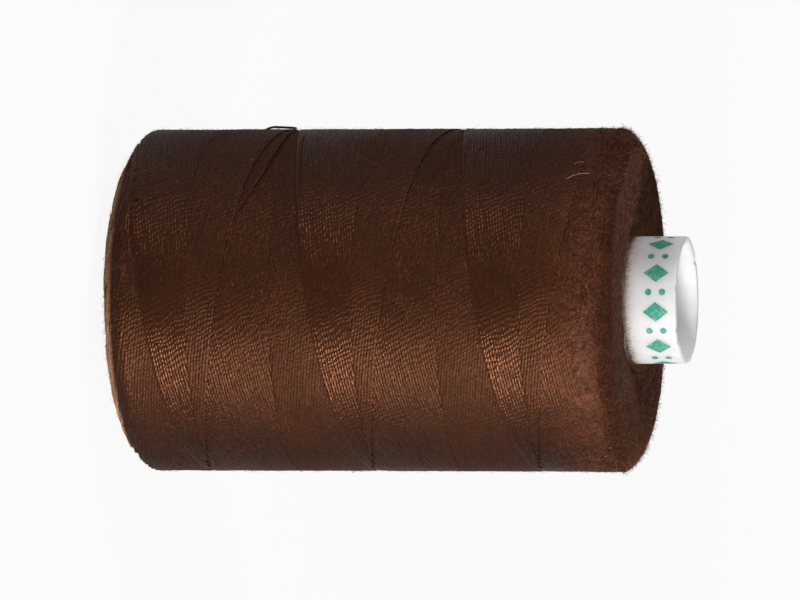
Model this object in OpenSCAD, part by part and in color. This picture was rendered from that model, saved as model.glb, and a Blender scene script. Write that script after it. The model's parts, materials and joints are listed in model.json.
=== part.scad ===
// Sewing thread cross-wound on a plain tube, standing on its base rim.
// Millimetres, +Z up the tube's axis, origin at the centre of the base rim.

/* [Tube] */
// Outside diameter of the tube
tube_d = 10; // [8:0.5:12]
// Wall of the tube
tube_wall = 0.55; // [0.4:0.05:1.2]
// Bare tube that stands past the winding at the top
top_reach = 3.9; // [1:0.1:12]
// Bare tube that stands past the winding at the base
base_reach = 1; // [0.5:0.1:12]
// Bevel on each edge of the two rims
rim_bevel = 0.12; // [0.05:0.01:0.15]

/* [Winding] */
// Diameter over the outermost turns
winding_d = 27; // [22:0.5:45]
// Length of the winding along the tube
winding_len = 40.8; // [30:0.2:70]
// How far the top shoulder reaches in from the side
top_shoulder_in = 2; // [0.5:0.1:3]
// How far the top shoulder reaches down from the top face
top_shoulder_down = 1.2; // [0.5:0.1:3]
// How far the base shoulder reaches in from the side
base_shoulder_in = 3.7; // [0.5:0.1:4]
// How far the base shoulder reaches up from the base face
base_shoulder_up = 2.2; // [0.5:0.1:4]
// How far the top face dips towards the tube
top_dish = 0.3; // [0.05:0.05:1]
// Shape of the shoulders, from 1 for a straight bevel to 2 for an ellipse
shoulder_power = 1.45; // [1.1:0.05:2]

/* [Outer turns] */
// Diameter of the thread
thread_d = 0.23; // [0.15:0.01:0.4]
// Turns that show on the outside of the winding
turn_count = 24; // [10:1:24]
// Inside radius of the bend where each end of the thread turns down into the winding
end_bend_inner = 0.03; // [0.02:0.01:0.2]
// Least clearance between the outer turns and the wound core
turn_clear = 0.05; // [0.03:0.01:0.2]
// Bare length between the outer turns and each shoulder
turn_margin = 0.3; // [0.2:0.1:2]

/* [Hidden] */

tube_colour = [0.93, 0.94, 0.93];
thread_colour = [0.31, 0.17, 0.12];

fine = 96;              // facets of a full circle in the preview
rings_per_turn = 24;    // cross-sections along one turn of thread
sides = 6;              // sides of the thread's cross-section
shoulder_steps = 6;     // straight cones that make up a shoulder
bend_steps = 3;         // steps round the bend at each thread end

tube_r = tube_d / 2;
bore_r = tube_r - tube_wall;
tube_len = base_reach + winding_len + top_reach;
base_z = base_reach;
top_z = base_z + winding_len;

// The core lies below the thread's end, one thread diameter straight and then a bend,
// and below each turn, which comes nearest to it halfway between two rings.
thread_r = thread_d / 2;
turn_r = winding_d / 2 - thread_r;
end_bend_r = thread_r + end_bend_inner;
chord_r = turn_r * cos(180 / rings_per_turn);
core_r = min(turn_r - end_bend_r - thread_d, chord_r - thread_r - turn_clear);

turns_base = base_z + base_shoulder_up + turn_margin;
turns_top = top_z - top_shoulder_down - turn_margin;
turn_pitch = (turns_top - turns_base) / turn_count;

// Half profile of one shoulder, from its face to the side: [inwards reach, reach along the axis].
function shoulder(reach_in, reach_along) = [
    for (step = [0 : shoulder_steps])
        let (angle = 90 * step / shoulder_steps)
        [
            reach_in * (1 - pow(sin(angle), 2 / shoulder_power)),
            reach_along * (1 - pow(cos(angle), 2 / shoulder_power))
        ]
];

// Places round the helix.
turn_rise = turn_pitch / rings_per_turn;
turn_step = 360 / rings_per_turn;
ring_count = turn_count * rings_per_turn;
turns = [
    for (i = [0 : ring_count])
        [
            turn_r * cos(i * turn_step),
            turn_r * sin(i * turn_step),
            turns_base + i * turn_rise
        ]
];

// One end of the thread: square up from the core, then round the bend to the helix.
// Its points lie in a plane across the axis, away along the turn and at a height from the axis.
function in_plane(away, height, angle, z) = [
    height * cos(angle) - away * sin(angle),
    height * sin(angle) + away * cos(angle),
    z
];
function thread_end(side, angle, z) = [
    in_plane(side * end_bend_r, core_r, angle, z),
    for (step = [0 : bend_steps - 1])
        let (turned = 90 * step / bend_steps)
        in_plane(
            side * end_bend_r * cos(turned),
            turn_r - end_bend_r * (1 - sin(turned)),
            angle,
            z
        )
];
function backwards(list) = [for (i = [len(list) - 1 : -1 : 0]) list[i]];

thread_path = concat(
    thread_end(-1, 0, turns_base),
    turns,
    backwards(thread_end(1, 360 * turn_count, turns_top))
);

// Least gap between stretches of the thread that lie half a turn or more apart along it.
half_turn = rings_per_turn / 2;
turn_gap = min([
    for (i = [0 : ring_count - half_turn])
        min([for (j = [i + half_turn : ring_count]) norm(turns[j] - turns[i])])
]) - thread_d;
echo(least_gap_between_turns_mm = turn_gap);

function unit(v) = v / norm(v);
function path_way(path, i) = unit(
    i == 0 ? path[1] - path[0] :
    i == len(path) - 1 ? path[i] - path[i - 1] :
    unit(path[i + 1] - path[i]) + unit(path[i] - path[i - 1])
);

// Cross-section at one place: a polygon square to the path, with one corner straight outwards.
function section(path, i, radius) =
    let (
        way = path_way(path, i),
        up = unit([0, 0, 1] - way[2] * way),
        out = cross(way, up)
    )
    [
        for (k = [0 : sides - 1])
            let (angle = 360 * k / sides)
            path[i] + radius * (cos(angle) * out + sin(angle) * up)
    ];

module swept(path, radius) {
    points = [for (i = [0 : len(path) - 1]) each section(path, i, radius)];
    last = (len(path) - 1) * sides;
    walls = [
        for (i = [0 : len(path) - 2], k = [0 : sides - 1])
            let (
                here = i * sides + k,
                beside = i * sides + (k + 1) % sides
            )
            each [
                [here, beside, here + sides],
                [beside, beside + sides, here + sides]
            ]
    ];
    start_cap = [for (k = [1 : sides - 2]) [0, k + 1, k]];
    end_cap = [for (k = [1 : sides - 2]) [last, last + k, last + k + 1]];
    polyhedron(points = points, faces = concat(walls, start_cap, end_cap), convexity = 10);
}

module tube() {
    color(tube_colour)
        rotate_extrude($fn = fine)
            polygon([
                [bore_r, rim_bevel],
                [bore_r + rim_bevel, 0],
                [tube_r - rim_bevel, 0],
                [tube_r, rim_bevel],
                [tube_r, tube_len - rim_bevel],
                [tube_r - rim_bevel, tube_len],
                [bore_r + rim_bevel, tube_len],
                [bore_r, tube_len - rim_bevel]
            ]);
}

module wound_core() {
    base_shoulder = shoulder(base_shoulder_in, base_shoulder_up);
    top_shoulder = shoulder(top_shoulder_in, top_shoulder_down);
    color(thread_colour)
        rotate_extrude($fn = fine)
            polygon(concat(
                [[tube_r, base_z]],
                [for (p = base_shoulder) [core_r - p[0], base_z + p[1]]],
                [for (p = backwards(top_shoulder)) [core_r - p[0], top_z - p[1]]],
                [[tube_r, top_z - top_dish]]
            ));
}

module outer_turns() {
    color(thread_colour)
        swept(thread_path, thread_r);
}

tube();
wound_core();
outer_turns();
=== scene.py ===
"""Dresses the thread spool: crossing strands, end turns, stray fibres and a printed tube."""

import inspect
import json
import math
import random

import bmesh
import bpy
from bpy.props import FloatProperty, FloatVectorProperty, IntProperty, PointerProperty
from bpy.types import Operator, Panel, PropertyGroup
from mathutils import Matrix, Vector


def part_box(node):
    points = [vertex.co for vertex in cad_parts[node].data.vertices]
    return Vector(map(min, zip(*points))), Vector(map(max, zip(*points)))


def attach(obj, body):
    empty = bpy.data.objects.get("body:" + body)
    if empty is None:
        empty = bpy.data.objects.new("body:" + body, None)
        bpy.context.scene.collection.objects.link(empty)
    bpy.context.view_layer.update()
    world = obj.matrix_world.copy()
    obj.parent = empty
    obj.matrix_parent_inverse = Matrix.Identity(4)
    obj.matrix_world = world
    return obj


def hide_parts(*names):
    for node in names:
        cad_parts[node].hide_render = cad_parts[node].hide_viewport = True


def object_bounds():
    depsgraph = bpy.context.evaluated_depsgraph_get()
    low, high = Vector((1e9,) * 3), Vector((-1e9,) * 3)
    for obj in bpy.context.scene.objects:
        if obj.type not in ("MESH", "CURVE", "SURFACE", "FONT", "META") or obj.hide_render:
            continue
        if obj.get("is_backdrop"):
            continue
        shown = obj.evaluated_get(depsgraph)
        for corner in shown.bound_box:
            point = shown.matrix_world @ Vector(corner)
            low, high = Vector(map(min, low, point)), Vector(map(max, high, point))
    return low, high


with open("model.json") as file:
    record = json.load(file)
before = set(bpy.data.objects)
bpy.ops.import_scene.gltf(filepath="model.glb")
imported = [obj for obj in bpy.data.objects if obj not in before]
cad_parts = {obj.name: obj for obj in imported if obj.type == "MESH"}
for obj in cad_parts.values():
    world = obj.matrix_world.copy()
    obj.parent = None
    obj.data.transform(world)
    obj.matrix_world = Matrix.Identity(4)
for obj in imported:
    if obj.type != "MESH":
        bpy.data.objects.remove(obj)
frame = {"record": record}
cad_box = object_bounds()

bl_info = {
    "name": "Thread Spool",
    "version": (1, 0, 0),
    "blender": (4, 5, 0),
    "location": "View3D > Sidebar > Spool",
    "description": "Builds a cross-wound thread spool round its construction model",
    "category": "Object",
}

MM = 0.001
TURN = 2 * math.pi
SHOULDER_STEPS = 12
# The part of a strand's round section that is drawn, and how sharply one family dips below the other.
THREAD_ARC = math.radians(206)
CROSSING_SHARPNESS = 34

# The construction model gives the main sizes.
TUBE_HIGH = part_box("tube")[1]
CORE_LOW, CORE_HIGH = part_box("wound_core")
TURNS_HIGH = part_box("outer_turns")[1]
BORE = next(m for m in frame["record"]["mounts"] if m["name"] == "spindle_bore")

TUBE_RADIUS = TUBE_HIGH[0]
BORE_RADIUS = BORE["dims"]["r_mm"] * MM
TUBE_TOP = TUBE_HIGH[2]
BASE_FACE = CORE_LOW[2]
TOP_FACE = CORE_HIGH[2]
WINDING_RADIUS = TURNS_HIGH[0]


def length(name, description, millimetres):
    """A length property, with its default in millimetres."""
    return FloatProperty(
        name=name, description=description, default=millimetres * MM, unit="LENGTH", precision=5
    )


def per_area(name, description, default):
    """A property that counts things on a square millimetre."""
    return FloatProperty(name=name, description=description + ", per mm2", default=default)


def colour(name, description, default):
    """A colour property, in linear values."""
    return FloatVectorProperty(
        name=name, description=description, default=default, subtype="COLOR", size=3, min=0, max=1
    )


class WindingSizes(PropertyGroup):
    """Sizes of the thread and of the way it is wound."""

    thread: length("Thread", "Diameter of the thread", 0.24)
    lead: length("Lead", "Travel along the tube in one turn of the thread", 13.3)
    strands: IntProperty(name="Strands", description="Threads side by side in one lead", default=57)
    turns: IntProperty(name="Turns", description="Turns of the thread in one stroke", default=3)
    rings: IntProperty(name="Rings per turn", description="Cross-sections in a turn", default=160)
    low_turning: length("Low turning point", "Height where strokes turn at the base", 1.08)
    rising_edge: length("Rising edge", "Height of the newest rising strand at the front", 4.73)
    falling_edge: length("Falling edge", "Height of the newest falling strand at the front", 10.72)
    layer: length("Layer", "How much one layer of strands adds to the radius", 0.10)
    top_in: length("Top shoulder in", "How far the top shoulder reaches in", 2.0)
    top_along: length("Top shoulder down", "How far the top shoulder reaches down", 1.2)
    base_in: length("Base shoulder in", "How far the base shoulder reaches in", 3.7)
    base_along: length("Base shoulder up", "How far the base shoulder reaches up", 2.2)
    roundness: FloatProperty(name="Roundness", description="Shape of the shoulders", default=1.45)
    dish: length("Dish", "How far the top face dips towards the tube", 0.3)
    ply: length("Ply", "Distance between plies along the thread", 0.41)


class FibreSizes(PropertyGroup):
    """Sizes of the loose fibres on the thread."""

    fine: length("Fine radius", "Radius of a single long fibre", 0.007)
    coarse: length("Coarse radius", "Radius of a short clump of fibres", 0.016)
    short: length("Shortest", "Length of the shortest fibres", 0.18)
    middling: length("Middling", "Length of the longest clumps", 0.55)
    long: length("Longest", "Length of the longest single fibres", 1.5)
    side_clumps: per_area("Side clumps", "Clumps on the side", 3.0)
    side_fuzz: per_area("Side fuzz", "Fibres on the side", 4.4)
    end_clumps: per_area("End clumps", "Clumps on the ends", 22.0)
    end_fuzz: per_area("End fuzz", "Fibres on the ends", 6.0)
    end_nap: per_area("End nap", "Upright fibres on the top shoulder", 150.0)
    collar: per_area("Collar", "Fibres round the tube", 190.0)


class Finishes(PropertyGroup):
    """Colours of the finishes."""

    thread: colour("Thread", "Colour of the thread", (0.024, 0.0049, 0.0020))
    # Painted shade: the near-black groove colour stands for the shade between the plies and between
    # strands.
    groove: colour("Groove", "Colour between the plies", (0.0007, 0.0002, 0.0001))
    # Painted rim light: the pale colour of the lowest turns at the base stands for light caught by the fuzz
    # on the base edge.
    rim: colour("Rim", "Colour of the rubbed turns at the base", (0.50, 0.25, 0.14))
    mat: colour("Mat", "Colour of the matted ends", (0.078, 0.0200, 0.0092))
    # The darkest mottles of the matted ends; on their top face this colour is also painted shade.
    mat_dark: colour("Mat shade", "Colour deep in the matted ends", (0.006, 0.0020, 0.0011))
    fibre: colour("Fibre", "Colour of the palest loose fibres", (0.29, 0.118, 0.057))
    plastic: colour("Plastic", "Colour of the tube", (0.85, 0.85, 0.84))
    ink: colour("Ink", "Colour of the printed ring", (0.025, 0.32, 0.22))
    floor: colour("Floor", "Colour of the floor", (0.85, 0.85, 0.85))


def ahead(operation):
    """A method that puts its value into a Math node, with any others after it."""
    return lambda self, *others: self.node("ShaderNodeMath", self, *others, operation=operation)


def behind(operation):
    """A method that puts its value into a Math node, with the other before it."""
    return lambda self, other: self.node("ShaderNodeMath", other, self, operation=operation)


class Flow:
    """A socket in a node tree: arithmetic on it adds Math nodes, and node() adds any other node."""

    def __init__(self, tree, socket=None):
        self.tree = tree
        self.socket = socket

    def node(self, kind, *values, output=0, **labelled):
        """Add a node. Values fill its inputs in order, and None leaves one as it is.

        A label with a capital is an input's name, and one without is a setting of the node.
        """
        made = self.tree.nodes.new(kind)
        inputs = {place: value for place, value in enumerate(values) if value is not None}
        for label, value in labelled.items():
            if label[0].isupper():
                inputs[label.replace("_", " ")] = value
            else:
                setattr(made, label, value)
        for key, value in inputs.items():
            if isinstance(value, Flow):
                self.tree.links.new(value.socket, made.inputs[key])
            else:
                made.inputs[key].default_value = value
        return Flow(self.tree, made.outputs[output])

    __add__ = __radd__ = ahead("ADD")
    __mul__ = __rmul__ = ahead("MULTIPLY")
    __sub__, __rsub__ = ahead("SUBTRACT"), behind("SUBTRACT")
    __truediv__, __rtruediv__ = ahead("DIVIDE"), behind("DIVIDE")
    __pow__, root = ahead("POWER"), ahead("SQRT")
    floor, fraction = ahead("FLOOR"), ahead("FRACT")
    sign, size = ahead("SIGN"), ahead("ABSOLUTE")
    sine, cosine = ahead("SINE"), ahead("COSINE")
    above, below, at_least = ahead("GREATER_THAN"), ahead("LESS_THAN"), ahead("MAXIMUM")

    def clamped(self):
        """This value, kept from 0 to 1."""
        return self.node("ShaderNodeClamp", self)

    def eased(self):
        """A smooth step, for a value that runs from 0 to 1."""
        share = self.clamped()
        return share * share * (3 - 2 * share)

    def height(self):
        """The Z of this place."""
        return self.node("ShaderNodeSeparateXYZ", self, output=2)

    def vector(self, x, y, z):
        return self.node("ShaderNodeCombineXYZ", x, y, z)

    def noise(self, place, scale, detail):
        """Smooth noise about 0.5 at a place."""
        return self.node("ShaderNodeTexNoise", Vector=place, Scale=scale, Detail=detail)

    def swing(self, place, scale, detail, reach):
        """Smooth noise about 0 at a place, within half this many millimetres."""
        return (self.noise(place, scale, detail) - 0.5) * reach * MM


# ---- geometry trees

# The inputs of trees that are whole numbers.
WHOLE = ("strands", "turns", "rings", "corners", "arcs", "columns", "rows", "lozenges", "seed")


def new_tree(build):
    """The geometry tree that a function builds. Its inputs are the function's parameters, and a material.

    It ends smooth, realised and with the material.
    """
    tree = bpy.data.node_groups.new(build.__name__.replace("_", " ").capitalize(), "GeometryNodeTree")
    tree.interface.new_socket("Geometry", in_out="OUTPUT", socket_type="NodeSocketGeometry")
    labels = []
    for name in [*inspect.signature(build).parameters][1:] + ["material"]:
        kind = name.title() if name in ("geometry", "material") else "Int" if name in WHOLE else "Float"
        labels.append(name.replace("_", " ").title())
        tree.interface.new_socket(labels[-1], in_out="INPUT", socket_type="NodeSocket" + kind)
    entry = tree.nodes.new("NodeGroupInput")
    *given, material = (Flow(tree, entry.outputs[label]) for label in labels)
    smooth = given[0].node("GeometryNodeSetShadeSmooth", build(Flow(tree), *given))
    real = smooth.node("GeometryNodeRealizeInstances", smooth)
    done = real.node("GeometryNodeSetMaterial", real, Material=material)
    tree.links.new(done.socket, tree.nodes.new("NodeGroupOutput").inputs[0])
    return tree


def named(flow, name, kind="FLOAT"):
    """A number or vector that is stored on the mesh."""
    return flow.node("GeometryNodeInputNamedAttribute", data_type=kind, Name=name)


def store(mesh, kind="FLOAT", **values):
    """Store numbers or vectors on the points of the mesh, under their names."""
    for name, value in values.items():
        mesh = mesh.node(
            "GeometryNodeStoreNamedAttribute", mesh, data_type=kind, domain="POINT", Name=name, Value=value
        )
    return mesh


def chances(place, seed):
    """Makes random numbers from low to high, each the same wherever place is the same."""
    def draw(low, high, number):
        own_seed = seed + number if number else seed
        return place.node(
            "FunctionNodeRandomValue", None, None, low, high, data_type="FLOAT", ID=place, Seed=own_seed,
            output=1,
        )

    return draw


def moved(mesh, place):
    return mesh.node("GeometryNodeSetPosition", mesh, Position=place)


def cut_faces(mesh, chosen):
    return mesh.node("GeometryNodeDeleteGeometry", mesh, chosen, domain="FACE", mode="ALL")


def merged(mesh):
    """Close the seams and poles of a mesh."""
    return mesh.node("GeometryNodeMergeByDistance", mesh, Distance=0.002 * MM)


def outwards(mesh, inside_out):
    """Turn the faces of a mesh where it is inside out."""
    return mesh.node("GeometryNodeFlipFaces", mesh, inside_out)


def round_place(radius, angle, height):
    """A place at an angle round the axis, counted from the front."""
    return angle.vector(radius * angle.sine(), radius * angle.cosine() * -1, height)


def fallen(share, power):
    """How far a rounded shoulder has fallen, from 0 to 1, this share of the way across it."""
    return 1 - (1 - share ** power).at_least(0) ** (1 / power)


def flat_grid(flow, columns, rows):
    """A grid of points: the mesh, and each point's column and row."""
    grid = flow.node("GeometryNodeMeshGrid", 1.0, 1.0, Vertices_X=columns, Vertices_Y=rows)
    index = flow.node("GeometryNodeInputIndex")
    column = ((index + 0.5) / rows).floor()
    return grid, column, index - column * rows


def strip_grid(flow, strips, corners, rings):
    """A grid of strips: the mesh, each point's strip, and its shares of the ways across and along it."""
    grid, ring, row = flat_grid(flow, rings, strips * corners)
    strip = ((row + 0.5) / corners).floor()
    across = (row - strip * corners) / (corners - 1)
    return store(grid, strip=strip), strip, across, ring / (rings - 1)


def split_strips(mesh):
    """Delete the faces that join one strip to the next, whose mean strip is no whole number."""
    return cut_faces(mesh, (named(mesh, "strip").fraction() - 0.5).size().below(0.49))


def crossing_strands(
    flow, radius, thread, lead, strands, turns, rings, corners, hand, low_turning, edge, other_edge, layer,
    base_face, top_face, base_in, base_along, top_in, top_along, roundness, favour, rounding, crown,
    spread, ply_step, seed,
):
    """One family of crossing strands, all rising or all falling, drawn where they lie on top."""
    mesh, strand, round_share, share = strip_grid(flow, strands, corners, rings)
    draw = chances(strand, seed)

    # Age runs from 0 for the newest strand of the family to 1 for its oldest.
    age = (strand + 0.5) / strands
    travel = turns * lead
    straight = low_turning + share * travel
    angle = TURN * (hand * (straight - edge) / lead - age)

    # The path rounds off at both turning points, and each strand turns at its own height.
    way_up, way_down = share * travel, (1 - share) * travel
    from_low = (rounding - way_up).at_least(0)
    from_top = (rounding - way_down).at_least(0)
    near_low = (1 - way_up / (3 * rounding)).eased()
    near_top = (1 - way_down / (3 * rounding)).eased()
    height = straight + (from_low * from_low - from_top * from_top) / (2 * rounding)
    height = height + near_low * draw(-0.3 * MM, 0.3 * MM, 0) + near_top * draw(-0.2 * MM, 0.25 * MM, 1)

    # Neighbours bunch and part a little, and each strand wanders by itself as well.
    bunch_place = round_place(1.0, angle, height / radius)
    lone_place = flow.vector(angle * 2.2, strand * 7.31 + hand * 3.0, height / radius)
    height = height + flow.swing(bunch_place, 5.0, 2.0, 0.14) + flow.swing(lone_place, 2.0, 2.0, 0.07)

    # Age of the other family at this place, and whether its strands lie over this one.
    other_age = (hand * (other_edge - height) / lead - angle / TURN).fraction()
    cover = ((age - other_age - favour) * CROSSING_SHARPNESS + 0.5).eased()

    # The layers below lift a strand, the shoulders lower it, and it swells and sinks a little.
    low_share = 1 - ((height - base_face) / base_along).clamped()
    top_share = 1 - ((top_face - height) / top_along).clamped()
    centre = radius - thread / 2 - layer * (age + other_age + cover)
    centre = centre - base_in * fallen(low_share, roundness) - top_in * fallen(top_share, roundness)
    centre = centre + flow.swing(bunch_place, 3.0, 2.0, 0.16) + flow.swing(lone_place, 5.0, 1.0, 0.06)

    # It sinks under the matted surface of the top end, and stands out unevenly at the base.
    buried = ((height - top_face + 3.4 * MM) / (2.2 * MM)).eased()
    scallops = flow.swing(bunch_place, 13.0, 1.0, 0.40) + draw(-0.07 * MM, 0.05 * MM, 3)
    centre = centre - buried * 0.16 * MM + near_low * scallops

    # The cross-section is the outer part of a flattened circle, square to the strand.
    thickness = thread / 2 * (0.93 + 0.16 * flow.noise(lone_place, 7.0, 2.0))
    around = (round_share - 0.5) * THREAD_ARC
    slope = lead / (TURN * radius)
    across = thickness * spread * around.sine() / (1 + slope * slope).root()
    angle_here = angle - hand * slope * across / radius
    crown = thickness * (around.cosine() * crown + 1 - crown)
    place = round_place(centre + crown, angle_here, height + across)

    # The plies of neighbouring strands nearly line up, each a little further on than the last.
    tone = draw(-1.0, 1.0, 2)
    along = angle * hand * radius / MM + strand * ply_step / MM
    # Shade is painted light and shade: one family is painted lighter than the other, and older, deeper
    # strands darker.
    shade = hand * 0.25 + 0.35 - age
    mesh = store(mesh, hidden=cover, tone=tone, shade=shade, along=along, around=around * hand)
    mesh = split_strips(moved(mesh, place))
    mesh = cut_faces(mesh, named(flow, "hidden").above(0.97))
    return outwards(mesh, hand.below(0.0))


def end_turns(
    flow, arcs, corners, rings, thread, inner, outer, face, way, reach_in, reach_along, roundness, dish,
    arc, dive, seed,
):
    """Short arcs of thread whose crowns show on an end face and its shoulder."""
    mesh, number, round_share, share = strip_grid(flow, arcs, corners, rings)
    thickness = thread / 2
    draw = chances(number, seed)

    # The crowns lie nearly evenly over the end, and follow its shoulder and its dish.
    crown_radius = (inner * inner + (outer * outer - inner * inner) * draw(0.0, 1.0, 0) ** 0.85).root()
    flat_edge = outer - reach_in
    share_out = ((crown_radius - flat_edge) / reach_in).clamped()
    fall = reach_along * fallen(share_out, roundness)
    dish = dish * (1 - (crown_radius - inner) / (flat_edge - inner)).clamped()

    # Step runs from -1 at one end of an arc, over its crown at 0, to 1 at its other end.
    step = share * 2 - 1
    half = arc * draw(0.6, 1.3, 1)
    skew = draw(-0.35, 0.35, 3)
    angle = draw(0.0, TURN, 2) + step * half / crown_radius
    wander = flow.swing(flow.vector(angle * 3.0, number * 5.17, 0.0), 1.6, 2.0, 0.5)
    radius = crown_radius + wander + step * skew * 0.5 * MM
    sunk = dive * step * step + draw(-0.06 * MM, 0.16 * MM, 4)
    lumps = flow.swing(round_place(radius / outer, angle, 0.0), 5.0, 3.0, 0.35)
    height = face - way * (fall + dish + sunk + lumps + thickness)

    around = round_share * TURN
    place = round_place(
        radius + thickness * around.sine(), angle, height + way * thickness * around.cosine()
    )
    tone = draw(-1.0, 1.0, 5)
    mesh = store(mesh, tone=tone, along=step * half / MM + tone * 40, around=around)
    mesh = merged(split_strips(moved(mesh, place)))
    return outwards(mesh, way.above(0.0))


def matted_end(
    flow, columns, rows, radius, inner, face, way, reach_in, reach_along, roundness, dish, side, rise,
    sink, relief, rubbed,
):
    """The matted surface of one end: up the side, round the shoulder and over the face to the tube."""
    mesh, column, row = flat_grid(flow, columns, rows)
    angle = column / (columns - 1) * TURN

    # The row's place along the profile, shared between side, shoulder and face.
    flat = radius - reach_in - inner
    travelled = row / (rows - 1) * (side + reach_in + reach_along + flat)
    on_side = (travelled / side).clamped()
    turned = ((travelled - side) / (reach_in + reach_along)).clamped() * (math.pi / 2)
    on_face = ((travelled - side - reach_in - reach_along) / flat).clamped()
    power = 2 / roundness
    inwards = reach_in * (1 - turned.cosine().at_least(0) ** power) + flat * on_face
    depth = side * (1 - on_side) + reach_along * (1 - turned.sine().at_least(0) ** power)
    depth = depth + dish * on_face

    # The mat lies proud of the strands at the end, and dips under them down the side.
    # The edge between side and shoulder is rubbed round.
    off_edge = (travelled - side) / (1.7 * MM)
    rubbed = (1 - off_edge * off_edge).at_least(0) ** 2 * rubbed
    place = round_place(radius - inwards, angle, face - way * depth)
    tufts = flow.noise(place, 2000.0, 3.0) - 0.5
    waves = flow.noise(place, 330.0, 2.0) - 0.5
    trough = (1 - flat * (1 - on_face) / (0.9 * MM)).clamped() * 0.35 * MM
    proud = rise - (1 - (on_side * 1.15).eased()) * (rise + sink)
    proud = proud + (tufts + waves * 1.2) * relief - trough * turned.sine() - rubbed
    out = radius - inwards + proud * turned.cosine()
    place = round_place(out, angle, face - way * (depth - proud * turned.sine()))
    return outwards(merged(moved(mesh, place)), way.below(0.0))


def printed_marks(
    flow, lozenges, corners, rings, radius, height, half_round, half_high, dot, dot_rise, start
):
    """Lozenges round the tube, with a pair of dots between each two."""
    mesh, mark, round_share, share = strip_grid(flow, lozenges * 3, corners, rings)
    group = ((mark + 0.5) / 3).floor()
    kind = mark - group * 3
    is_dot = kind.clamped()
    middle = (group + start + is_dot * 0.5) / lozenges * TURN
    rise = (kind - 1.5) * 2 * dot_rise * is_dot

    # A superellipse, from a lozenge at power 2 to a disc at power 1, with an uneven edge.
    turned = round_share * TURN
    edge = flow.noise(flow.vector(turned.cosine(), turned.sine(), mark * 3.7), 2.5, 2.0) - 0.5
    share = share * (1 + edge * 0.12)
    power = 2 - is_dot

    def bulge(value):
        return (value * value).at_least(1e-8) ** (power / 2) * value.sign() * share

    half_round = half_round + (dot - half_round) * is_dot
    half_high = half_high + (dot - half_high) * is_dot
    angle = middle + bulge(turned.cosine()) * half_round / radius
    height = height + rise + bulge(turned.sine()) * half_high
    mesh = moved(mesh, round_place(radius, angle, height))
    return merged(split_strips(mesh))


def loose_fibres(
    flow, geometry, density, fade_low, fade_high, corners, rings, radius, shortest, longest, lift, lean,
    spread, seed,
):
    """Loose fibres that grow from a surface, bend over along the thread and partly return to it."""
    fade = flow.node("GeometryNodeInputPosition").height() - fade_low
    fade = (fade / (fade_high - fade_low)).eased()
    roots = flow.node(
        "GeometryNodeDistributePointsOnFaces",
        distribute_method="RANDOM", Mesh=geometry, Density=density * fade, Seed=seed,
    )
    normal = Flow(flow.tree, roots.socket.node.outputs["Normal"])
    roots = store(roots, "FLOAT_VECTOR", out=normal, root=flow.node("GeometryNodeInputPosition"))
    roots = store(roots, fibre=flow.node("GeometryNodeInputIndex"))

    mesh, _, round_share, share = strip_grid(flow, 1.0, corners, rings)
    mesh = store(mesh, step=share, around=round_share * TURN)
    copies = flow.node("GeometryNodeInstanceOnPoints", Points=roots, Instance=mesh)
    real = flow.node("GeometryNodeRealizeInstances", Geometry=copies)

    def vectors(operation, *values, **scale):
        return flow.node("ShaderNodeVectorMath", *values, operation=operation, **scale)

    fibre, step, around = (named(flow, name) for name in ("fibre", "step", "around"))
    out, root = (named(flow, name, "FLOAT_VECTOR") for name in ("out", "root"))
    hoop = vectors("NORMALIZE", vectors("CROSS_PRODUCT", flow.vector(0.0, 0.0, 1.0), root))
    beside = vectors("CROSS_PRODUCT", out, hoop)
    draw = chances(fibre, seed)
    turned = spread * draw(-1.0, 1.0, 1)
    sign = draw(-1.0, 1.0, 2).sign()
    long = shortest + (longest - shortest) * draw(0.0, 1.0, 3) ** 2.2
    lift = lift * draw(0.15, 1.0, 4)
    bend = draw(-0.9, 0.9, 5)
    returns = draw(0.2, 1.1, 6)

    # Along the thread, sideways in a curve, and up and over.
    forth = lean * long * step * turned.cosine() * sign
    aside = lean * long * (step * turned.sine() + bend * step * step * 0.6)
    wave = (step * 9 + fibre * 1.7).sine() * 0.05 * long
    rise = long * lift * (step - returns * step * step * 0.9) * 1.6
    around_x = radius * around.cosine() * (step * 0.6 - 1.15) * sign
    around_y = radius * around.sine() * (1.15 - step * 0.6)
    place = vectors(
        "ADD",
        vectors("ADD", root, vectors("SCALE", hoop, Scale=forth)),
        vectors(
            "ADD",
            vectors("SCALE", beside, Scale=aside + wave + around_x),
            vectors("SCALE", out, Scale=rise + around_y),
        ),
    )
    return store(moved(real, place), tone=draw(-1.0, 1.0, 7))


def placed(name, data):
    """A new object in the scene."""
    made = bpy.data.objects.new(name, data)
    bpy.context.scene.collection.objects.link(made)
    return made


def built(name, tree, slot, *nodes, mesh=None, **values):
    """Make a tree's plain piece. An input has one of these values, or the winding's size of its name."""
    sizes = bpy.context.scene.spool_winding
    piece = placed(name, mesh or bpy.data.meshes.new(name))
    modifier = piece.modifiers.new(name, "NODES")
    modifier.node_group = tree
    for item in tree.interface.items_tree:
        key = item.name.lower().replace(" ", "_")
        if key in values or hasattr(sizes, key):
            modifier[item.identifier] = values[key] if key in values else getattr(sizes, key)
    depsgraph = bpy.context.evaluated_depsgraph_get()
    result = bpy.data.meshes.new_from_object(
        piece.evaluated_get(depsgraph), preserve_all_data_layers=True, depsgraph=depsgraph
    )
    result.name = name
    piece.modifiers.clear()
    piece.data = result
    owned(piece, slot, *nodes)


def owned(piece, slot, *nodes):
    """A piece rides on the spool and may stand for CAD nodes. Its slot is not used."""
    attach(piece, "root")
    if nodes:
        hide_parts(*nodes)


def end_shape(sizes, way):
    """The inputs for the shape of one end, which is the top for way 1 and the base for way -1."""
    top, base = (sizes.top_in, sizes.top_along, sizes.dish), (sizes.base_in, sizes.base_along, 0.0)
    reaches = zip(("reach_in", "reach_along", "dish"), top if way > 0 else base)
    return {"way": way, **dict(reaches)}


# ---- materials


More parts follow.
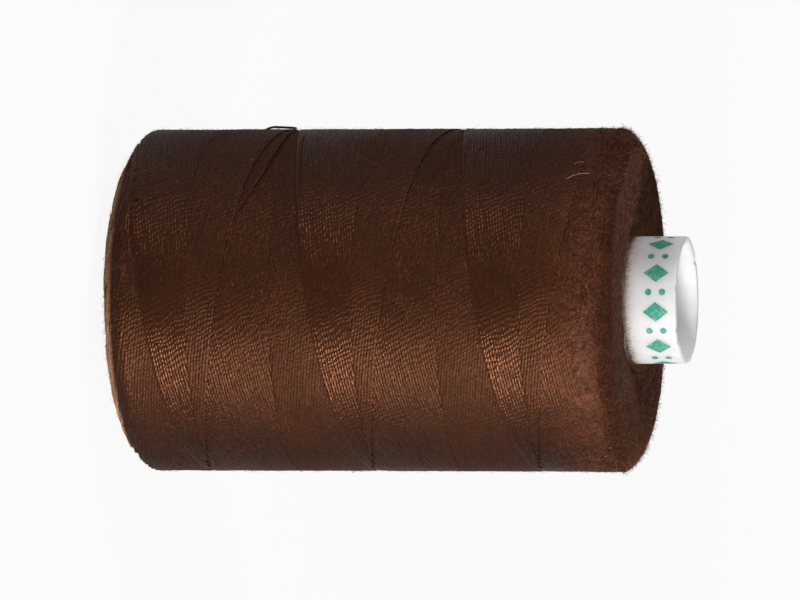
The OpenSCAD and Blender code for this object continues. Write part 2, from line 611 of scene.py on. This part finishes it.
class Finish(Flow):
    """The flow of a new material, with its Principled shader and each place on the piece."""

    def __init__(self, name, **constants):
        self.material = bpy.data.materials.new(name)
        self.material.use_nodes = True
        super().__init__(self.material.node_tree)
        self.tree.nodes.clear()
        self.shader = self.node("ShaderNodeBsdfPrincipled", **constants)
        self.place = self.node("ShaderNodeTexCoord", output=3)
        self.out = self.tree.nodes.new("ShaderNodeOutputMaterial").inputs["Surface"]
        self.tree.links.new(self.shader.socket, self.out)

    def feed(self, **values):
        """Link values to the shader's inputs."""
        for label, value in values.items():
            self.tree.links.new(value.socket, self.shader.socket.node.inputs[label.replace("_", " ")])

    def grain(self, scale, detail):
        """Smooth noise about 0.5 over the piece."""
        return self.noise(self.place, scale, detail)

    def mix(self, factor, first, second):
        """A mix of two colours, each a flow, three numbers or the name of one of the finishes."""
        def wide(value):
            """A colour as a node takes it."""
            if isinstance(value, str):
                value = getattr(bpy.context.scene.spool_finishes, value)
            return value if isinstance(value, Flow) else (*value, 1)

        pair = (wide(first), wide(second))
        return self.node("ShaderNodeMix", factor, *[None] * 5, *pair, data_type="RGBA", output=2)

    def stored(self, name):
        """A number that the mesh keeps."""
        return self.node("ShaderNodeAttribute", attribute_name=name, output=2)

    def bump(self, height, distance, strength=1.0):
        self.feed(Normal=self.node("ShaderNodeBump", Height=height, Distance=distance, Strength=strength))


def mottled(flow):
    """The uneven colour of matted thread."""
    clumps = flow.grain(420.0, 4.0)
    tufts = flow.grain(1700.0, 2.0)
    fibres = flow.grain(6500.0, 2.0)
    light = (clumps * 1.6 + tufts * 2.0 + fibres * 4.8 - 3.75).clamped()
    return flow.mix(light, "mat_dark", "mat")


# What the thread and its matted ends have in common.
YARN = {"IOR": 1.6, "Sheen_Weight": 0.02, "Sheen_Roughness": 0.4, "Sheen_Tint": (0.7, 0.36, 0.21, 1)}


def thread_material(sizes):
    """Spun thread: plies that wind round it, with fibres along each ply."""
    flow = Finish(
        "Spun thread", Specular_IOR_Level=0.65, Specular_Tint=(1.0, 0.385, 0.19, 1), **YARN
    )
    along, around, tone, shade = map(flow.stored, ("along", "around", "tone", "shade"))
    drift = flow.grain(650.0, 2.0)
    patches = flow.grain(420.0, 2.0)
    fuzz = flow.grain(2500.0, 3.0)

    # The plies run on from strand to strand, and wander. Their fibres lie along the strand.
    twist = along * (TURN * MM / sizes.ply) + around * 2.3 + drift * 18 + tone * 0.8
    ply = twist.sine() * 0.5 + 0.5
    grain = (flow.noise(flow.vector(along, around * 0.25, tone * 19), 3.2, 2.0) * 3.2 - 1.1).clamped()

    # The thread is matted towards the top end, and rubbed smoother towards the base.
    height = flow.place.height()
    matted = ((height - TOP_FACE + 6.5 * MM) / (5 * MM)).eased()
    worn = ((BASE_FACE + 1.3 * MM - height) / (0.6 * MM)).eased()
    near_base = ((BASE_FACE + 5.0 * MM - height) / (3.0 * MM)).eased()
    # Painted shade: the ply grooves and the shade term darken the colour. Grain, fuzz, patches and tone
    # vary at random.
    light = ply * 0.7 + grain * 1.4 + fuzz * 2.4 + tone * 0.10 + shade * 0.25 + patches * 1.2 - 2.50
    clean = flow.mix(light.clamped(), "groove", "thread")
    dull = flow.mix(matted * 0.9, clean, mottled(flow))
    # Painted rim light: the lowest turns are painted pale, where the fuzz on the base edge catches the
    # light.
    pale = (worn * (fuzz * 1.5 + ply * 0.35 - 0.05)).clamped()
    gloss = ply * 0.2 + grain * 0.4 + fuzz * 0.5 + shade * 0.8 + near_base * 0.45 - 0.18
    gloss = gloss.clamped() * (1 - matted * 0.5)
    flow.feed(Base_Color=flow.mix(pale, dull, "rim"), Roughness=0.64 - gloss * 0.31)
    flow.bump(ply * 0.9 + grain * 0.7 + fuzz * 1.0, 0.019 * MM)
    return flow.material


def body_material():
    """The inside of the winding, seen between strands: its thread colour is mixed with the near-black
    groove colour, painted shade for the gaps.
    """
    flow = Finish("Winding core", Roughness=0.85)
    grain = flow.grain(2400.0, 2.0)
    flow.feed(Base_Color=flow.mix(grain, "groove", "thread"))
    flow.bump(grain, 0.05 * MM)
    return flow.material


def matted_material():
    """Matted thread ends: mottled, dull and full of tangled fibres."""
    flow = Finish(
        "Matted thread", Specular_IOR_Level=0.55, Specular_Tint=(1.0, 0.42, 0.25, 1), **YARN
    )
    fibres = flow.grain(4200.0, 3.0)
    height = flow.place.height()
    near_edge = ((height - TOP_FACE + 3.6 * MM) / (2.4 * MM)).clamped()
    on_face = ((height - TOP_FACE + 0.55 * MM) / (0.45 * MM)).clamped()
    # Painted shade: the top face is painted darker than the shoulder, where the lamps only graze it.
    shaded = flow.mix(on_face * 0.30, mottled(flow), "mat_dark")
    rough = 0.66 - fibres * 0.40 + near_edge * 0.18 + on_face * 0.37
    flow.feed(Base_Color=shaded, Roughness=rough)
    flow.bump(fibres, 0.07 * MM)
    return flow.material


def fibre_material():
    """Single loose fibres, paler than the thread because light goes through them."""
    flow = Finish(
        "Loose fibre", Roughness=0.45, Specular_IOR_Level=0.6, Specular_Tint=(1.0, 0.5, 0.3, 1)
    )
    tone = flow.stored("tone") * 0.5 + 0.5
    flow.feed(Base_Color=flow.mix(tone * tone, "thread", "fibre"))
    return flow.material


def plastic_material():
    """Moulded white plastic with faint scuffs, dust near the winding and darker patches at the top rim. Its
    inner wall is painted lighter, as painted light inside the bore.
    """
    flow = Finish(
        "White plastic", Specular_IOR_Level=0.4, Subsurface_Weight=0.9, Subsurface_Radius=(1, 1, 1),
        Subsurface_Scale=1.6 * MM,
    )
    x, y, height = (flow.node("ShaderNodeSeparateXYZ", flow.place, output=k) for k in range(3))
    inside = ((TUBE_RADIUS - 0.2 * MM - (x * x + y * y).root()) / (0.2 * MM)).clamped()
    grain = flow.grain(1500.0, 3.0)
    clouds = flow.grain(260.0, 3.0)
    near_winding = (1 - (height - TOP_FACE) / (1.5 * MM)).clamped()
    dust = (near_winding * near_winding * (0.4 + clouds * 0.9)).clamped() * 0.5
    # Darker in patches at the top rim.
    near_rim = (1 - (TUBE_TOP - height) / (0.22 * MM)).clamped()
    soil = (near_rim * (clouds * 3.2 - 1.45)).clamped() * 0.5
    handled = flow.mix(grain * 0.25, "plastic", (0.74, 0.73, 0.72))
    # Painted light: the inner wall is painted lighter than the outside, standing for the light inside the
    # bore.
    clean = flow.mix(inside, handled, (0.90, 0.895, 0.885))
    dusted = flow.mix(dust, clean, (0.34, 0.21, 0.15))
    soiled = flow.mix(soil, dusted, (0.22, 0.19, 0.16))
    flow.feed(Base_Color=soiled, Roughness=0.36 + grain * 0.2)
    flow.bump(grain, 0.01 * MM, 0.5)
    return flow.material


def ink_material():
    """Printed ink, thin in places."""
    flow = Finish("Printed ink", Roughness=0.45)
    thin = (flow.grain(3500.0, 3.0) * 2.6 - 1.15).clamped() * 0.35
    flow.feed(Base_Color=flow.mix(thin, "ink", "plastic"))
    return flow.material


def lint_material():
    """Pale lint and dust that clings to the thread."""
    flow = Finish("Lint", Roughness=0.7)
    grain = flow.grain(3000.0, 2.0)
    flow.feed(Base_Color=flow.mix(grain, (0.17, 0.11, 0.08), (0.42, 0.32, 0.25)))
    return flow.material


def backdrop_material():
    """A pale floor that the camera sees nearly white, with the shadow kept on it."""
    flow = Finish("Pale floor", Roughness=0.9)
    seen = flow.node("ShaderNodeLightPath", output=0)
    flow.feed(Base_Color=flow.mix(seen, (0.60, 0.60, 0.60), "floor"))
    glow = flow.node("ShaderNodeEmission", (1, 1, 1, 1), 1.0)
    blend = flow.node("ShaderNodeMixShader", seen * 0.92, flow.shader, glow)
    flow.tree.links.new(blend.socket, flow.out)
    return flow.material


# ---- plain meshes


def plain_mesh(name, mesh):
    """Mesh data from a bmesh, which is freed."""
    data = bpy.data.meshes.new(name)
    mesh.to_mesh(data)
    mesh.free()
    return data


def mesh_piece(name, mesh, material):
    """A smooth-shaded object at the origin from a bmesh, which is freed."""
    data = plain_mesh(name, mesh)
    data.materials.append(material)
    data.polygons.foreach_set("use_smooth", [True] * len(data.polygons))
    return placed(name, data)


def round_point(radius, angle, height):
    """A point at an angle round the axis, counted from the front."""
    return Vector((radius * math.sin(angle), -radius * math.cos(angle), height))


def skin(mesh, pairs, spans):
    """Faces between each two rings of points."""
    for here, beside in pairs:
        for k in range(spans):
            j = (k + 1) % len(here)
            mesh.faces.new((here[k], beside[k], beside[j], here[j]))


def lathe(profile, segments, closed=False, shift=lambda place, angle: place):
    """A turned surface round Z from (radius, height) points that go round it counter-clockwise."""
    mesh = bmesh.new()
    rings = [
        [mesh.verts.new(shift(round_point(radius, angle, height), angle)) for radius, height in profile]
        for angle in (TURN * step / segments for step in range(segments))
    ]
    skin(mesh, zip(rings, rings[1:] + rings[:1]), len(profile) if closed else len(profile) - 1)
    bmesh.ops.recalc_face_normals(mesh, faces=mesh.faces)
    return mesh


def corner_arc(x, y, radius, start, steps=5):
    """Points of a quarter circle from a start angle, counter-clockwise."""
    angles = [math.radians(start + 90 * k / steps) for k in range(steps + 1)]
    return [(x + radius * math.cos(angle), y + radius * math.sin(angle)) for angle in angles]


def shoulder_arc(reach_in, reach_along, power):
    """A shoulder's places from its face to the side: how far in each one lies, and how far along."""
    power = 2 / power
    angles = [math.pi / 2 * k / SHOULDER_STEPS for k in range(SHOULDER_STEPS + 1)]
    return [
        (reach_in * (1 - math.sin(angle) ** power), reach_along * (1 - math.cos(angle) ** power))
        for angle in angles
    ]


def shoulder_profile(sizes, inset):
    """Half profile of the winding, from its base face to its top face, set in from the strands."""
    outer = WINDING_RADIUS - inset
    base = shoulder_arc(sizes.base_in, sizes.base_along, sizes.roundness)
    top = shoulder_arc(sizes.top_in, sizes.top_along, sizes.roundness)
    return [
        (TUBE_RADIUS, BASE_FACE + inset),
        *((outer - inwards, BASE_FACE + inset + along) for inwards, along in base),
        *((outer - inwards, TOP_FACE - inset - along) for inwards, along in reversed(top)),
        (TUBE_RADIUS, TOP_FACE - inset - sizes.dish),
    ]


def on_winding(degrees, height, lift):
    """A place by its angle round from the front, and its height and its lift off the side in mm."""
    return round_point(WINDING_RADIUS + lift * MM, math.radians(degrees), height * MM)


def smooth_path(points, count):
    """A Catmull-Rom curve through the points."""
    ends = [points[0] * 2 - points[1], *points, points[-1] * 2 - points[-2]]
    path = []
    for i in range(1, len(ends) - 2):
        a, b, c, d = ends[i - 1:i + 3]
        for k in range(count):
            t = k / count
            path.append(0.5 * (
                2 * b + (c - a) * t + (2 * a - 5 * b + 4 * c - d) * t * t + (3 * b - a - 3 * c + d) * t ** 3
            ))
    return path + [points[-1]]


def swept_thread(name, places, count, radius, material, corners=8, tone=0.0):
    """A thread through places on the winding, with its length and angle stored for the plies."""
    points = smooth_path([on_winding(*place) for place in places], count)
    mesh = bmesh.new()
    layers = [mesh.verts.layers.float.new(label) for label in ("along", "around", "tone")]
    rings = []
    travelled = 0.0
    for i, point in enumerate(points):
        before = points[max(i - 1, 0)]
        way = (points[min(i + 1, len(points) - 1)] - before).normalized()
        side = way.cross(Vector((0.31, 0.17, 0.93))).normalized()
        up = side.cross(way)
        travelled += (point - before).length
        ring = []
        for k in range(corners):
            angle = TURN * k / corners
            vert = mesh.verts.new(point + radius * (math.cos(angle) * up + math.sin(angle) * side))
            for layer, value in zip(layers, (travelled / MM, angle, tone)):
                vert[layer] = value
            ring.append(vert)
        rings.append(ring)
    skin(mesh, zip(rings, rings[1:]), corners)
    mesh.faces.new(rings[0])
    mesh.faces.new(rings[-1])
    bmesh.ops.recalc_face_normals(mesh, faces=mesh.faces)
    return mesh_piece(name, mesh, material)


# ---- operators


class SPOOL_OT_stage(Operator):
    """Build the camera, the soft lights and the pale floor"""

    bl_idname = "spool.stage"
    bl_label = "Stage"

    # The camera looks at the printed end from 12 degrees above its side, with the spool lying across.
    TILT = math.radians(12)
    DISTANCE = 0.9
    PIXELS_PER_MM = 12.667
    FRAME_WIDTH = 800 / PIXELS_PER_MM * MM
    MIDDLE = Vector((0, 0, 21.5 * MM))
    MIDDLE_OFFSET = 14 / PIXELS_PER_MM * MM
    SENSOR = 36
    LAMP_DISTANCE = 0.4
    # How bright the world is for the spool. The camera sees it white.
    WORLD_LIGHT = 0.045

    def execute(self, context):
        scene = context.scene
        right = Vector((0, math.sin(self.TILT), math.cos(self.TILT)))
        up = Vector((-1, 0, 0))
        back = right.cross(up)
        aim = self.MIDDLE + right * self.MIDDLE_OFFSET
        lens = bpy.data.cameras.new("camera")
        lens.sensor_width = self.SENSOR
        lens.lens = self.SENSOR * self.DISTANCE / self.FRAME_WIDTH
        lens.clip_start = 0.01
        camera = placed("camera", lens)
        camera.matrix_world = Matrix.Translation(aim + back * self.DISTANCE) @ Matrix(
            (right, up, back)
        ).transposed().to_4x4()
        scene.camera = camera

        self.soft_box("key softbox", turn=49, rise=15, power=1.76, size=(0.11, 0.08))
        self.soft_box("fill softbox", turn=-54, rise=36, power=0.70, size=(0.16, 0.16))
        self.soft_box("back softbox", turn=178, rise=3, power=0.40, size=(0.30, 0.20))

        world = bpy.data.worlds.new("Pale studio")
        scene.world = world
        world.use_nodes = True
        tree = world.node_tree
        tree.nodes.clear()
        flow = Flow(tree)
        seen = flow.node("ShaderNodeLightPath", output=0)
        strength = self.WORLD_LIGHT + seen * (1 - self.WORLD_LIGHT)
        glow = flow.node("ShaderNodeBackground", Color=(1, 1, 1, 1), Strength=strength)
        tree.links.new(glow.socket, tree.nodes.new("ShaderNodeOutputWorld").inputs[0])
        scene.view_settings.view_transform = "Standard"

        floor = bmesh.new()
        bmesh.ops.create_grid(floor, x_segments=1, y_segments=1, size=1.5)
        mesh_piece("floor", floor, backdrop_material())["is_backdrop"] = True
        return {"FINISHED"}

    def soft_box(self, name, turn, rise, power, size):
        """A rectangular lamp that faces the spool, at a turn from the front and a rise from level."""
        rise = math.radians(rise)
        way = round_point(math.cos(rise), math.radians(turn), math.sin(rise))
        light = bpy.data.lights.new(name, "AREA")
        light.shape = "RECTANGLE"
        light.size, light.size_y = size
        light.energy = power
        lamp = placed(name, light)
        lamp.location = self.MIDDLE + way * self.LAMP_DISTANCE
        lamp.rotation_euler = way.to_track_quat("Z", "Y").to_euler()


class SPOOL_OT_tube(Operator):
    """Build the white tube, with its softened and nicked rims"""

    bl_idname = "spool.tube"
    bl_label = "Tube"

    EDGE = 0.13 * MM
    ROWS = 12
    # Nicks in the top rim: angle from the front in degrees, depth in mm, half width in degrees.
    NICKS = (
        (-11, 0.10, 2.2), (30, 0.13, 2.5), (36, 0.07, 1.6),
        (43, 0.15, 3.0), (118, 0.08, 2.0), (-140, 0.12, 2.6),
    )

    def execute(self, context):
        edge, inner, outer = self.EDGE, BORE_RADIUS, TUBE_RADIUS
        heights = [TUBE_TOP * k / self.ROWS for k in range(1, self.ROWS)]
        profile = [(outer, height) for height in heights]
        profile += corner_arc(outer - edge, TUBE_TOP - edge, edge, 0)
        profile += corner_arc(inner + edge, TUBE_TOP - edge, edge, 90)
        profile += [(inner, height) for height in reversed(heights)]
        profile += corner_arc(inner + edge, edge, edge, 180)
        profile += corner_arc(outer - edge, edge, edge, 270)

        def worn(place, angle):
            """Sink the top rim at its nicks, and leave it a little out of true."""
            degrees = math.degrees(angle)
            near_top = max(0.0, 1 - (TUBE_TOP - place.z) / (0.35 * MM))
            sink = 0.03 * MM * (1 + math.sin(angle * 2 + 0.6)) / 2
            for at, depth, half in self.NICKS:
                away = (degrees - at + 180) % 360 - 180
                sink += depth * MM * math.exp(-(away / half) ** 2)
            place.z -= sink * near_top
            return place

        mesh = lathe(profile, segments=360, closed=True, shift=worn)
        piece = mesh_piece("spool_tube", mesh, plastic_material())
        owned(piece, "tube_plastic", "tube")
        return {"FINISHED"}


class SPOOL_OT_print(Operator):
    """Print a running ring of lozenges and dots round the tube's bare end"""

    bl_idname = "spool.print"
    bl_label = "Printed ring"

    INK = 0.006 * MM

    def execute(self, context):
        built(
            "printed_ring", new_tree(printed_marks), "tube_plastic", lozenges=10, corners=33, rings=5,
            radius=TUBE_RADIUS + self.INK, height=44.05 * MM, half_round=0.78 * MM, half_high=1.0 * MM,
            dot=0.26 * MM, dot_rise=0.55 * MM, start=0.3,
            material=ink_material(),
        )
        return {"FINISHED"}


class SPOOL_OT_winding_core(Operator):
    """Build the dark body that shows between the strands"""

    bl_idname = "spool.winding_core"
    bl_label = "Winding core"

    INSET = 0.62 * MM

    def execute(self, context):
        profile = shoulder_profile(context.scene.spool_winding, self.INSET)
        material = body_material()
        piece = mesh_piece("winding_body", lathe(profile, segments=192), material)
        owned(piece, "thread", "wound_core")
        return {"FINISHED"}


class SPOOL_OT_strands(Operator):
    """Wind the two families of strands that cross on the side"""

    bl_idname = "spool.strands"
    bl_label = "Crossing strands"

    def execute(self, context):
        sizes = context.scene.spool_winding
        material = thread_material(sizes)
        tree = new_tree(crossing_strands)
        families = (
            ("rising_strands", 1.0, sizes.rising_edge, sizes.falling_edge, 0.08, 11),
            ("falling_strands", -1.0, sizes.falling_edge, sizes.rising_edge, -0.08, 23),
        )
        for name, hand, edge, other_edge, favour, seed in families:
            built(
                name, tree, "thread", "outer_turns", radius=WINDING_RADIUS + 0.10 * MM, hand=hand,
                rings=sizes.turns * sizes.rings + 1, corners=5, edge=edge, other_edge=other_edge,
                base_face=BASE_FACE, top_face=TOP_FACE, favour=favour, rounding=1.0 * MM, crown=0.24,
                spread=1.33, ply_step=0.11 * MM, seed=seed, material=material,
            )
        return {"FINISHED"}


class SPOOL_OT_end_turns(Operator):
    """Lay the turning arcs of thread over both end faces"""

    bl_idname = "spool.end_turns"
    bl_label = "End turns"

    def execute(self, context):
        sizes = context.scene.spool_winding
        material = bpy.data.materials["Spun thread"]
        tree = new_tree(end_turns)
        ends = (
            ("top_end_turns", 450, 1.0, TOP_FACE - 0.1 * MM, 31),
            ("base_end_turns", 1000, -1.0, BASE_FACE, 47),
        )
        for name, arcs, way, face, seed in ends:
            built(
                name, tree, "thread", arcs=arcs, corners=6, rings=13, face=face,
                inner=TUBE_RADIUS + sizes.thread * 0.4, outer=WINDING_RADIUS - sizes.thread / 2,
                arc=3.4 * MM, dive=0.42 * MM, seed=seed, material=material, **end_shape(sizes, way),
            )
        return {"FINISHED"}


class SPOOL_OT_matted_ends(Operator):
    """Lay the matted thread surface over both ends"""

    bl_idname = "spool.matted_ends"
    bl_label = "Matted ends"

    def execute(self, context):
        sizes = context.scene.spool_winding
        material = matted_material()
        tree = new_tree(matted_end)
        ends = (
            ("top_mat", 721, 101, 1.0, TOP_FACE, 4.6 * MM, 0.04 * MM, 0.12 * MM),
            ("base_mat", 481, 71, -1.0, BASE_FACE, 1.5 * MM, -0.08 * MM, 0.0),
        )
        for name, columns, rows, way, face, side, rise, rubbed in ends:
            built(
                name, tree, "thread", columns=columns, rows=rows, radius=WINDING_RADIUS, face=face,
                inner=TUBE_RADIUS, side=side, rise=rise, sink=0.40 * MM, relief=0.22 * MM,
                rubbed=rubbed, material=material, **end_shape(sizes, way),
            )
        return {"FINISHED"}


class SPOOL_OT_fibres(Operator):
    """Grow the loose fibres on the side, on both ends and round the tube"""

    bl_idname = "spool.fibres"
    bl_label = "Loose fibres"

    def execute(self, context):
        sizes = context.scene.spool_winding
        fibres = context.scene.spool_fibres
        profile = shoulder_profile(sizes, 0.05 * MM)
        base_ends = SHOULDER_STEPS + 2
        base, shoulder, face = profile[:base_ends], profile[base_ends:-1], profile[-2:]
        side = [base[-1], shoulder[0]]
        side_radius, side_high = side[1]
        band_low = side_high - 5.0 * MM
        band = [(side_radius, band_low + (side_high - band_low) * k / 12) for k in range(13)]
        root = profile[-1][1] + 0.1 * MM
        collar = [(TUBE_RADIUS + 0.6 * MM, root), (TUBE_RADIUS + 0.04 * MM, root)]

        # Each grade of fibre: its radius, and its least and greatest length.
        clump = (fibres.coarse, fibres.short, fibres.middling)
        fuzz = (fibres.fine, fibres.short, fibres.middling * 1.2)
        single = (fibres.fine, fibres.short * 2, fibres.long)
        nap = (fibres.fine * 1.5, fibres.short * 0.4, fibres.middling * 0.6)
        fading = {"fade_low": band_low, "fade_high": side_high - 1.5 * MM}

        self.material = fibre_material()
        self.tree = new_tree(loose_fibres)
        grow = self.grow
        grow("side_clumps", side, clump, fibres.side_clumps, lift=0.25, spread=0.6, seed=67)
        grow("side_fuzz", side, fuzz, fibres.side_fuzz / 2, lift=0.60, spread=1.2, seed=68)
        grow("side_fibres", side, single, fibres.side_fuzz / 2, lift=0.20, spread=0.5, seed=64)
        grow("band_clumps", band, clump, fibres.end_clumps, lift=0.45, spread=1.4, seed=69, **fading)
        grow("shoulder_clumps", shoulder, clump, fibres.end_clumps, lift=0.9, seed=70)
        grow("face_clumps", face, clump, fibres.end_clumps, lift=0.8, seed=71)
        grow("top_nap", shoulder, nap, fibres.end_nap, lift=1.6, seed=76, lean=0.7, rings=2)
        grow("top_fuzz", shoulder, fuzz, fibres.end_fuzz, lift=0.9, seed=72)
        grow("base_clumps", base, clump, fibres.end_fuzz, lift=0.6, spread=1.3, seed=73)
        grow("base_fuzz", base, fuzz, fibres.end_fuzz, lift=0.9, spread=1.3, seed=74)
        grow("collar_fibres", collar, single, fibres.collar, lift=0.9, seed=75, lean=0.35)
        return {"FINISHED"}

    def grow(self, name, profile, grade, density, **values):
        """One piece of fibres on a turned surface. Unless it says otherwise, they grow all over it."""
        radius, shortest, longest = grade
        usual = {"fade_low": -1.0, "fade_high": -0.9, "rings": 4, "lean": 1.0, "spread": 1.5}
        built(
            name, self.tree, "thread", mesh=plain_mesh(name + " roots", lathe(profile, segments=96)),
            density=density / MM ** 2, corners=4, radius=radius, shortest=shortest, longest=longest,
            material=self.material, **{**usual, **values},
        )


class SPOOL_OT_loose_threads(Operator):
    """Lay the thread's free end, with its small standing loop, and one stray turn"""

    bl_idname = "spool.loose_threads"
    bl_label = "Loose threads"

    # Places on the winding: angle from the front in degrees, height in mm, lift off it in mm.
    FREE_END = (
        (-24, 11.3, -0.20), (-31, 12.0, -0.02), (-40, 12.9, 0.0), (-50, 13.7, 0.0), (-64, 14.2, 0.0),
        (-78, 14.4, 0.02), (-86, 14.4, 0.05), (-90, 14.1, 0.10), (-91, 13.5, 0.14), (-91, 12.9, 0.17),
        (-90, 12.4, 0.17), (-89, 12.0, 0.05), (-88, 11.8, -0.14),
    )
    STRAY_TURN = (
        (-76, 15.6, -0.16), (-68, 15.85, 0.0), (-54, 16.35, 0.01), (-40, 16.85, 0.01),
        (-28, 17.3, 0.0), (-20, 17.6, -0.16),
    )

    def execute(self, context):
        radius = context.scene.spool_winding.thread / 2 * 0.8
        material = bpy.data.materials["Spun thread"]
        threads = (("free_end", self.FREE_END, 0.7), ("stray_turn", self.STRAY_TURN, 1.6))
        for name, places, tone in threads:
            owned(swept_thread(name, places, 12, radius, material, tone=tone), "thread")
        return {"FINISHED"}


class SPOOL_OT_lint(Operator):
    """Scatter a few bits of pale lint over the winding"""

    bl_idname = "spool.lint"
    bl_label = "Lint"

    # Where specks lie: angle from the front in degrees, height in mm.
    SPECKS = (
        (32.5, 3.5), (-67.5, 18.0), (-54.4, 21.6), (-54.0, 12.4), (-43.0, 6.9), (41.0, 9.6), (78.0, 30.2),
        (118.0, 14.0), (150.0, 26.5), (-172.0, 33.0), (-140.0, 19.0), (-112.0, 8.5), (64.0, 40.3),
        (58.0, 40.9),
    )
    HAIR_RADIUS = 0.022 * MM
    # Where hairs lie: angle and height as above, and lift off the winding in mm.
    HAIRS = (
        ((-43.6, 38.0, 0.20), (-44.6, 38.5, 0.30), (-45.3, 39.0, 0.32), (-46.0, 39.7, 0.22)),
        ((-50.5, 38.4, 0.22), (-51.2, 38.7, 0.30), (-51.4, 39.1, 0.24)),
    )

    def execute(self, context):
        material = lint_material()
        draw = random.Random(9)
        bits = bmesh.new()
        for angle, height in self.SPECKS:
            place = on_winding(angle, height, 0.08)
            made = bmesh.ops.create_icosphere(bits, subdivisions=2, radius=draw.uniform(0.035, 0.055) * MM)
            stretch = Vector([draw.uniform(0.6, 1.6) for _ in range(3)])
            for vert in made["verts"]:
                vert.co = place + vert.co * stretch * draw.uniform(0.8, 1.2)
        owned(mesh_piece("lint_specks", bits, material), "thread")
        for k, hair in enumerate(self.HAIRS, 1):
            piece = swept_thread(f"lint_hair_{k}", hair, 8, self.HAIR_RADIUS, material, corners=6)
            owned(piece, "thread")
        return {"FINISHED"}


class SPOOL_PT_panel(Panel):
    """Sizes, finishes and building steps of the spool"""

    bl_label = "Thread Spool"
    bl_idname = "SPOOL_PT_panel"
    bl_space_type = "VIEW_3D"
    bl_region_type = "UI"
    bl_category = "Spool"

    def draw(self, context):
        for name, group in GROUPS.items():
            box = self.layout.box()
            for label in group.__annotations__:
                box.prop(getattr(context.scene, name), label)
        for operator in OPERATORS:
            self.layout.operator(operator.bl_idname)


OPERATORS = (
    SPOOL_OT_stage,
    SPOOL_OT_tube,
    SPOOL_OT_print,
    SPOOL_OT_winding_core,
    SPOOL_OT_strands,
    SPOOL_OT_end_turns,
    SPOOL_OT_matted_ends,
    SPOOL_OT_fibres,
    SPOOL_OT_loose_threads,
    SPOOL_OT_lint,
)
GROUPS = {"spool_winding": WindingSizes, "spool_fibres": FibreSizes, "spool_finishes": Finishes}
CLASSES = (*GROUPS.values(), *OPERATORS, SPOOL_PT_panel)


def register():
    for item in CLASSES:
        bpy.utils.register_class(item)
    for name, group in GROUPS.items():
        setattr(bpy.types.Scene, name, PointerProperty(type=group))


def unregister():
    for name in GROUPS:
        delattr(bpy.types.Scene, name)
    for item in reversed(CLASSES):
        bpy.utils.unregister_class(item)


def main():
    """Build the whole spool, and work out its bounds beside the construction model's."""
    register()
    for operator in OPERATORS:
        group, name = operator.bl_idname.split(".")
        getattr(getattr(bpy.ops, group), name)()
    boxes = {"cad": cad_box, "visual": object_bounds()}
    sides = {name: [list(corner) for corner in box] for name, box in boxes.items()}


if __name__ == "__main__":
    main()
